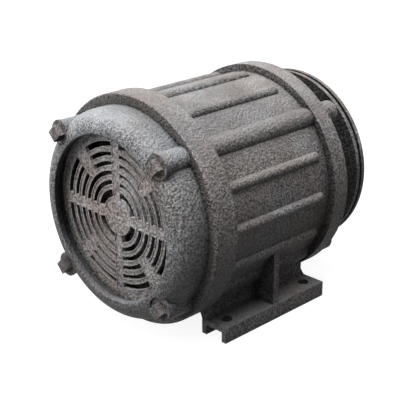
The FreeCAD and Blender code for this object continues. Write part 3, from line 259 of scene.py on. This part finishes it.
# The finish of each material slot. Castings have dark blotches, a main colour and light, worn places.
IRONS = {
    "housing_iron": {"dark": (0.21, 0.192, 0.184), "mid": (0.28, 0.257, 0.248), "light": (0.36, 0.345, 0.34)},
    "cover_iron": {"dark": (0.25, 0.244, 0.245), "mid": (0.315, 0.31, 0.313), "light": (0.37, 0.37, 0.377),
                   "grain": 0.95, "roughness": 0.52, "specular": 0.2},
    # grille_iron is the iron made about twice as light: painted light standing in for the front light on the
    # grille.
    "grille_iron": {"dark": (0.42, 0.38, 0.368), "mid": (0.56, 0.508, 0.495), "light": (0.64, 0.61, 0.6),
                    "grain": 0.8, "crevice_shade": 0.2},
    "weight_steel": {"dark": (0.1, 0.088, 0.08), "mid": (0.15, 0.134, 0.124), "light": (0.3, 0.28, 0.27),
                     "rim_highlight": 1.6},
    "fastener_steel": {"dark": (0.24, 0.212, 0.205), "mid": (0.33, 0.295, 0.285), "light": (0.42, 0.39, 0.38),
                       "grain": 0.8, "crevice_shade": 0.6},
}
METALS = {
    "shaft_steel": {"base": (0.55, 0.55, 0.55), "roughness": 0.28},
    "bearing_steel": {"base": (0.65, 0.65, 0.66), "roughness": 0.2, "grime": 0.2},
    "cage_brass": {"base": (0.66, 0.48, 0.2), "roughness": 0.3},
    "lamination_steel": {"base": (0.3, 0.31, 0.34), "roughness": 0.4, "brushed": False},
    "winding_copper": {"base": (0.5, 0.2, 0.08)},
    "rotor_aluminium": {"base": (0.7, 0.71, 0.72)},
    "fitting_brass": {"base": (0.3, 0.23, 0.13), "roughness": 0.42, "brushed": False, "grime": 0.6},
}
MOULDINGS = {
    "seal_rubber": {"base": (0.012, 0.012, 0.013)},
    "terminal_plastic": {"base": (0.05, 0.025, 0.015)},
}


def build_materials():
    kinds = ((cast_iron, IRONS), (steel, METALS), (moulded, MOULDINGS))
    return {slot: make(slot, **look) for make, looks in kinds for slot, look in looks.items()}


def dress_nodes(materials):
    slots = {entry["node"]: entry["material_slot"] for entry in frame["record"]["subparts"]}
    for name, piece in nodes.items():
        piece.data.materials.clear()
        piece.data.materials.append(materials[slots[name]])


# ---------------------------------------------------------------------- camera
VIEW_AZIMUTH = math.radians(45.976)
VIEW_ELEVATION = math.radians(21.753)
VIEW_ROLL = math.radians(0.414)
VIEW_DISTANCE = 0.95115
VIEW_SLIDE = (-0.016387, -0.01804)
LENS, SENSOR_WIDTH = 90.69, 36
CLIP_START = 0.01
AIM_BEHIND_FRONT_RING = 0.105


def make_camera():
    """Looks from the front right, a little above, at a point on the motor axis."""
    aim = Vector((0, ring_low.y + AIM_BEHIND_FRONT_RING, AXIS_HEIGHT))
    back = Vector((math.sin(VIEW_AZIMUTH) * math.cos(VIEW_ELEVATION),
                   -math.cos(VIEW_AZIMUTH) * math.cos(VIEW_ELEVATION), math.sin(VIEW_ELEVATION)))
    right = Vector((math.cos(VIEW_AZIMUTH), math.sin(VIEW_AZIMUTH), 0))
    turn = Matrix((right, back.cross(right), back)).transposed() @ Matrix.Rotation(-VIEW_ROLL, 3, "Z")
    camera = bpy.data.objects.new("camera", bpy.data.cameras.new("camera"))
    place = aim + turn @ Vector((*VIEW_SLIDE, VIEW_DISTANCE))
    camera.matrix_world = Matrix.Translation(place) @ turn.to_4x4()
    camera.data.lens = LENS
    camera.data.sensor_width = SENSOR_WIDTH
    camera.data.clip_start = CLIP_START
    bpy.context.scene.collection.objects.link(camera)
    bpy.context.scene.camera = camera


# ------------------------------------------------------------ light and ground
COOL, WARM = (0.95, 0.98, 1.0), (1.0, 0.96, 0.93)
# Each far soft lamp: where it shines from, its strength, its spread in degrees and its colour.
SUNS = {
    "key": ((-0.08, -0.22, 1.0), 3.7, 54, COOL),
    "fill": ((-0.6, -1.0, 0.4), 2.7, 40, WARM),
    "back": ((0.1, 1.0, 0.35), 0.6, 40, COOL),
}
SKY_COLOR, WHITE = (0.94, 0.97, 1.0, 1), (1, 1, 1, 1)
SKY_STRENGTH = 0.1
FLOOR_REACH = 6.0
FLOOR_CLOUDS = 6
FLOOR_GREYS = (0.22, 0.26)
SHOWN_FLOOR_COLOR = (0.25,) * 3
SHOWN_FLOOR_GLOW = 0.9


def add_sun(name, direction, strength, spread, color):
    lamp = bpy.data.lights.new(name, "SUN")
    lamp.energy, lamp.angle, lamp.color = strength, math.radians(spread), color
    item = bpy.data.objects.new(name, lamp)
    item.matrix_world = Vector(direction).to_track_quat("Z", "Y").to_matrix().to_4x4()
    bpy.context.scene.collection.objects.link(item)


def backdrop_rays(tree):
    """One for the rays that show the white background: camera, glossy and transmission."""
    path = tree.nodes.new("ShaderNodeLightPath")
    total = path.outputs["Is Camera Ray"]
    for kind in ("Is Glossy Ray", "Is Transmission Ray"):
        either = tree.nodes.new("ShaderNodeMath")
        either.operation = "MAXIMUM"
        tree.links.new(total, either.inputs[0])
        tree.links.new(path.outputs[kind], either.inputs[1])
        total = either.outputs[0]
    return total


def choose_by_ray(tree, usual, background, output):
    """The usual shader lights the object; the background shader is what shows behind it."""
    choose = tree.nodes.new("ShaderNodeMixShader")
    tree.links.new(backdrop_rays(tree), choose.inputs["Fac"])
    tree.links.new(usual, choose.inputs[1])
    tree.links.new(background, choose.inputs[2])
    tree.links.new(choose.outputs[0], output.inputs["Surface"])


def make_world():
    """Dim sky that shows as white."""
    world = bpy.data.worlds.new("studio")
    world.use_nodes = True
    tree = world.node_tree
    tree.nodes.clear()
    shaders = []
    for color, strength in ((SKY_COLOR, SKY_STRENGTH), (WHITE, 1.0)):
        sky = tree.nodes.new("ShaderNodeBackground")
        sky.inputs["Color"].default_value = color
        sky.inputs["Strength"].default_value = strength
        shaders.append(sky.outputs[0])
    choose_by_ray(tree, *shaders, tree.nodes.new("ShaderNodeOutputWorld"))
    bpy.context.scene.world = world


def make_floor():
    """Pale ground that shows white with a faint shadow."""
    mesh = bpy.data.meshes.new("floor")
    reach = FLOOR_REACH
    corners = [(-reach, -reach, 0), (reach, -reach, 0), (reach, reach, 0), (-reach, reach, 0)]
    mesh.from_pydata(corners, [], [(0, 1, 2, 3)])
    floor = bpy.data.objects.new("floor", mesh)
    bpy.context.scene.collection.objects.link(floor)
    shader = Shader("floor")
    pale = shader.add("BsdfDiffuse")
    shader.put(shader.grey(shader.noise(FLOOR_CLOUDS, 2), *FLOOR_GREYS, 0.3, 0.7), pale.inputs["Color"])
    shown = shader.add("BsdfDiffuse")
    shader.put(SHOWN_FLOOR_COLOR, shown.inputs["Color"])
    glow = shader.add("Emission")
    shader.put(SHOWN_FLOOR_GLOW, glow.inputs["Strength"])
    both = shader.add("AddShader")
    shader.put(shown.outputs[0], both.inputs[0])
    shader.put(glow.outputs[0], both.inputs[1])
    choose_by_ray(shader.tree, pale.outputs[0], both.outputs[0], shader.output)
    mesh.materials.append(shader.material)


dress_nodes(build_materials())
make_camera()
make_world()
make_floor()
for sun_name, sun in SUNS.items():
    add_sun(sun_name, *sun)
bpy.context.scene.view_settings.view_transform = "Standard"
